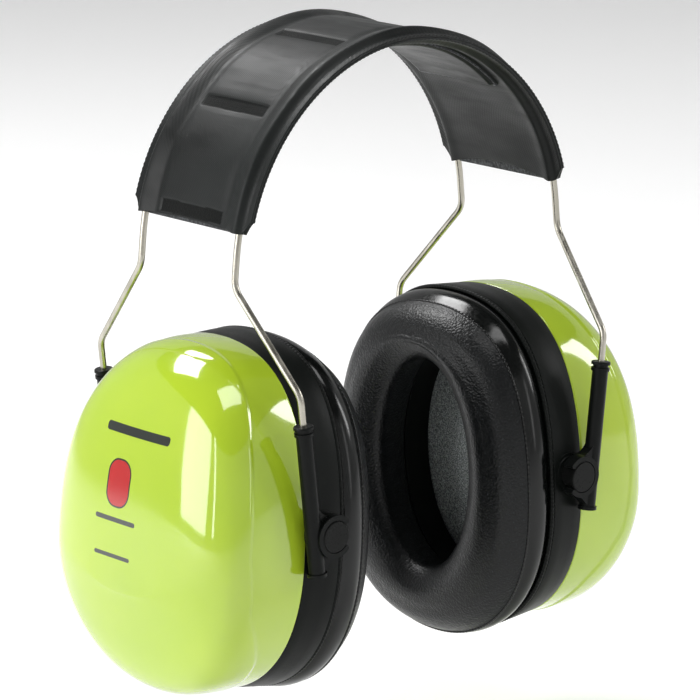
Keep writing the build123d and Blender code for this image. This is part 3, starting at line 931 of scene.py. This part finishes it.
def band_end(y, hollow):
    """Half angle of the cover at y: concave by hollow in the middle, cut back at the corners."""
    share = np.clip(np.abs(y) / WIRE_Y, 0, 1)
    corner = smooth(np.abs(y), WIRE_Y + 1.6 * MM, BAND_HALF_WIDTH)
    return BAND_HALF_ANGLE - (hollow * (1 - share**2) + CORNER_CUT * corner) / ARCH_RADIUS


def ridge(y, width_in, width_out):
    """1 over a wire, falling to 0 inboard and outboard."""
    off = np.abs(y) - WIRE_Y
    width = np.where(off < 0, width_in, width_out)
    return np.exp(-((off / width) ** 2))


def weld_marks(angle, y):
    """Slanting notches of the welded edge, 0 to 1."""
    on_weld = smooth(np.abs(y), BAND_HALF_WIDTH - 2.4 * MM, BAND_HALF_WIDTH - 1.9 * MM)
    wave = np.sin(2 * pi * (angle * ARCH_RADIUS + 0.9 * np.abs(y)) / WELD_PITCH)
    return on_weld * (0.5 + 0.5 * wave)


def bar_share(angle, y, soft):
    """1 inside the recessed bars across the cover, 0 outside, and soft wide at their edges."""
    total = 0.0
    for bar in BAR_ANGLES:
        along = np.abs(angle - bar) * ARCH_RADIUS
        inside = smooth(-along, -BAR_HALF_WIDTH - soft, -BAR_HALF_WIDTH + soft)
        across = smooth(-np.abs(y), -BAR_HALF_LENGTH - soft, -BAR_HALF_LENGTH + soft)
        total = total + inside * across
    return total


def top_height(angle, y):
    """Outer surface of the cover above the wires' centre line."""
    off_core = smooth(np.abs(y), WIRE_Y + 0.4 * MM, WIRE_Y + 2.9 * MM)
    panel = radians(30)
    place = np.abs((angle / panel) % 1 - 0.5) * 2
    bulge = 0.45 * MM * np.cos(place * pi) * smooth(np.cos(y / BAND_HALF_WIDTH * pi / 2), 0, 0.6)
    middle = SKIN_RISE + 0.1 * MM - bulge * 0.6
    height = middle + (RIDGE_HEIGHT - SKIN_RISE + 0.45 * MM) * ridge(y, 3.4 * MM, 1.8 * MM)
    valley = 0.35 * MM * np.exp(-(((np.abs(y) - WIRE_Y + 5.6 * MM) / (1.8 * MM)) ** 2))
    height = (height - valley) * (1 - off_core) + FLANGE * off_core
    inside = bar_share(angle, y, 0.25 * MM)
    height = height - 0.35 * MM * bar_share(angle, y, 2.4 * MM)
    height = height * (1 - inside) + (SKIN_RISE - BAR_DEPTH) * inside
    return height - 0.16 * MM * weld_marks(angle, y)


def bottom_height(angle, y):
    """Inner surface of the cover, below the wires' centre line, without the pad."""
    off_core = smooth(np.abs(y), WIRE_Y + 0.4 * MM, WIRE_Y + 2.6 * MM)
    height = -SKIN_DROP - 0.45 * MM * ridge(y, 2.2 * MM, 1.6 * MM)
    height = height * (1 - off_core) - FLANGE * off_core
    slack = 0.22 * MM * np.sin(angle * 9 + y / MM * 0.12) * np.cos(y / BAND_HALF_WIDTH * pi / 2)
    return height + slack + 0.16 * MM * weld_marks(angle, y)


def pad_share(angle, y):
    """1 on the crown pad, 0 outside, with a soft edge."""
    across = smooth(-np.abs(y), -PAD_HALF_WIDTH, -PAD_HALF_WIDTH + 2.2 * MM)
    end = (PAD_HALF_ANGLE - np.abs(angle)) * ARCH_RADIUS
    return across * smooth(end, 0, 2.4 * MM)


def lining(y, core):
    """Height of the cover's inner side: clear of the core, with a tunnel over each wire."""
    tunnel = TUNNEL_DEPTH * (np.abs(np.abs(y) - WIRE_Y) < TUNNEL_HALF_WIDTH)
    return core * (np.abs(y) < WIRE_Y + TUNNEL_HALF_WIDTH) + tunnel + LINING_GAP


def band_skin(name, surface, inner, hollow, rows, columns, finishes, choose=None):
    """Closed skin between a detailed outer surface and a plain inner one."""
    y_outer = np.linspace(-BAND_HALF_WIDTH, BAND_HALF_WIDTH, columns)
    y_inner = np.linspace(BAND_HALF_WIDTH - 0.05 * MM, -BAND_HALF_WIDTH + 0.05 * MM, 36)
    shares = np.linspace(-1, 1, rows)[:, None]
    outer_angle = shares * band_end(y_outer, hollow)[None, :]
    inner_angle = shares * band_end(y_inner, hollow)[None, :]
    outer = surface(outer_angle, np.broadcast_to(y_outer, outer_angle.shape))
    under = on_arch(inner_angle, np.broadcast_to(y_inner, inner_angle.shape), inner(y_inner)[None, :])
    stack = np.concatenate([outer, under], axis=1)
    loop = stack.shape[1]
    faces = grid(rows, loop)
    for start in (0, (rows - 1) * loop):
        first = [start + j for j in range(columns)]
        second = [start + loop - 1 - j for j in range(loop - columns)]
        faces += zipped(first, second)
    points = stack.reshape(-1, 3)
    if choose is not None:
        choose = choose(np.array([points[list(face)].mean(0) for face in faces]))
    return solid(name, points, faces, finishes, choose)


def make_band_top(finish, grit):
    """Upper half of the cover, with the gritty floors of its recessed bars."""

    def surface(angle, y):
        return on_arch(angle, y, top_height(angle, y))

    def inner(y):
        return lining(y, CORE_RISE)

    def choose(centres):
        angle = np.arctan2(centres[:, 0], centres[:, 2] - ARCH_Z)
        height = np.hypot(centres[:, 0], centres[:, 2] - ARCH_Z) - ARCH_RADIUS
        floor = (bar_share(angle, centres[:, 1], 0.25 * MM) > 0.6) & (height < SKIN_RISE)
        return floor.astype(int)

    piece = band_skin(
        "band_cover_top", surface, inner, 1.0 * MM, 460, 132, [finish, grit], choose
    )
    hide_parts("band_top_skin")
    return piece


def make_band_bottom(finish):
    """Lower half of the cover, with the crown pad; air moves the pad's cloth by less than 0.2 mm."""

    def surface(angle, y):
        height = bottom_height(angle, y) - PAD_DROP * pad_share(angle, y)
        points = on_arch(angle, y, height)
        held = pad_share(angle, y) < 0.02
        flat = points.reshape(-1, 3)
        faces = grid(*angle.shape, wrap_columns=False)
        puffed = inflate("pad_air", flat, faces, held.reshape(-1), PAD_AIR, PAD_SWELL)
        return puffed.reshape(points.shape)

    def inner(y):
        return -lining(y, CORE_DROP)

    piece = band_skin("band_cover_bottom", surface, inner, 3.0 * MM, 300, 96, [finish])
    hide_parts("band_bottom_skin")
    return piece


# ---- camera and studio ------------------------------------------------------------------------

CAMERA_AZIMUTH = radians(-41.29)
CAMERA_ELEVATION = radians(13.51)
CAMERA_DISTANCE = 1.2453
AIM_RIGHT, AIM_UP = -0.99 * MM, 36.85 * MM   # the view's centre, in the picture's own directions
SENSOR_WIDTH, FOCAL_LENGTH = 36.0, 214.73    # in millimetres, as Blender takes them
STUDIO_MIDDLE = (0, 0, 0.03)

# Lights: name, place, width and height, power in watts. All face the object.
LIGHTS = [
    ("window_wide", (-1.27, 0.38, 0.45), (0.66, 1.0), 9.5),
    ("window_narrow", (-1.32, -0.16, 0.46), (0.07, 1.0), 1.2),
    ("overhead", (-0.1, -0.25, 1.5), (0.9, 0.5), 6),
    ("high_back", (-0.05, 0.85, 1.15), (0.8, 0.4), 13),
    ("front_fill", (0.5, -1.7, 0.5), (0.3, 1.0), 1.6),
    ("right_strip", (1.15, -0.75, 0.7), (0.3, 0.6), 4),
]


def make_camera():
    """Long lens, level, a little above the object's middle, left of its front."""
    azimuth, elevation = CAMERA_AZIMUTH, CAMERA_ELEVATION
    right = Vector((cos(azimuth), sin(azimuth), 0))
    back = Vector((sin(azimuth) * cos(elevation), -cos(azimuth) * cos(elevation), sin(elevation)))
    up = back.cross(right)
    data = bpy.data.cameras.new("camera")
    data.sensor_width = SENSOR_WIDTH
    data.lens = FOCAL_LENGTH
    data.clip_start = 0.1
    data.clip_end = 20.0
    camera = bpy.data.objects.new("camera", data)
    bpy.context.scene.collection.objects.link(camera)
    turn = Matrix((right, up, back)).transposed().to_4x4()
    spot = right * AIM_RIGHT + up * AIM_UP + back * CAMERA_DISTANCE
    camera.matrix_world = Matrix.Translation(spot) @ turn
    bpy.context.scene.camera = camera


def area_light(name, spot, size, power):
    data = bpy.data.lights.new(name, "AREA")
    data.shape = "RECTANGLE"
    data.size, data.size_y = size
    data.energy = power
    light = bpy.data.objects.new(name, data)
    bpy.context.scene.collection.objects.link(light)
    direction = Vector(STUDIO_MIDDLE) - Vector(spot)
    turn = direction.to_track_quat("-Z", "Y").to_matrix().to_4x4()
    light.matrix_world = Matrix.Translation(Vector(spot)) @ turn


def make_studio():
    """Pale sweep all round, a tall two-pane window light, two lights above and two fills."""
    scene = bpy.context.scene
    scene.view_settings.view_transform = "Standard"
    world = bpy.data.worlds.new("studio")
    scene.world = world
    world.use_nodes = True
    sky = world.node_tree.nodes["Background"]
    sky.inputs["Color"].default_value = (1, 1, 1, 1)
    sky.inputs["Strength"].default_value = 0.1
    floor_z = CAD_BOX[0][2] - FLOOR_DROP
    finish = Finish("pale_floor")
    grey = finish.mix(finish.noise(3.0, 2.0), (0.86, 0.86, 0.86, 1), (0.9, 0.9, 0.9, 1))
    paper = finish.set(
        Base_Color=grey,
        Roughness=0.9,
        Specular_IOR_Level=0.1,
        Emission_Color=grey,
        Emission_Strength=0.22,
    )
    turn = np.linspace(0, 2 * pi, 96, endpoint=False)
    profile = [(0.5, 0), (1.5, 0), (3.0, 0), (4.0, 0.15), (4.8, 0.7), (5.2, 1.8), (5.3, 4)]
    rows = []
    for radius, height in profile:
        level = np.full(len(turn), floor_z + height)
        rows.append(np.stack([radius * np.cos(turn), radius * np.sin(turn), level], 1))
    points, faces = capped(rows, first_centre=np.array([0, 0, floor_z]))
    solid("floor", points, faces, [paper])
    for name, spot, size, power in LIGHTS:
        area_light(name, spot, size, power)


# ---- the whole object -------------------------------------------------------------------------

def finish_node(node, material):
    """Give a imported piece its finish."""
    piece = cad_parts[node]
    piece.data.materials.clear()
    piece.data.materials.append(material)


def main():
    green = shell_green()
    base = satin_black("base_black_moulding", colour(11, 14, 12), 0.36, 0.48)
    arm = satin_black("arm_black_moulding", colour(14, 16, 15), 0.26, 0.38)
    stud = satin_black("stud_black_moulding", colour(18, 19, 18), 0.24, 0.36)
    wire = steel()
    cloth = band_cloth()
    grit = satin_black("gritty_bar_floor", colour(9, 11, 10), 0.5, 0.7, 2200.0, 0.0003)
    grain = cushion_grain_and_painted_glints()
    gloss = cushion_gloss()
    cover_foam = foam("speckled_cover_foam", colour(92, 98, 97), colour(196, 202, 201), 1300.0)
    deep_foam = foam("absorber_foam", colour(40, 42, 44), colour(90, 92, 94), 700.0)
    seal = satin_black("seal_rubber", colour(24, 24, 25), 0.5, 0.65)

    cushion = puffed_cushion()
    for side in ("right", "left"):
        pieces = [make_outer_shell(side, green)]
        pieces += make_base(side, base)
        pieces += make_bosses(side, base)
        pieces += make_cushion(side, cushion, grain, gloss)
        pieces += make_plate(side, base)
        pieces.append(make_foam_cover(side, cover_foam))
        for piece in pieces:
            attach(piece, side + "_cup")
        finish_node(side + "_seal_ring", seal)
        finish_node(side + "_absorber_foam", deep_foam)
        for end in ("front", "rear"):
            finish_node(f"{side}_{end}_stud", stud)
            finish_node(f"{side}_{end}_arm", arm)
            finish_node(f"{side}_{end}_bush", arm)
    for piece in (make_band_top(cloth, grit), make_band_bottom(cloth)):
        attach(piece, "headband")
    for end in ("front", "rear"):
        finish_node(end + "_wire", wire)
    finish_node("band_foam", deep_foam)


make_camera()
make_studio()
main()
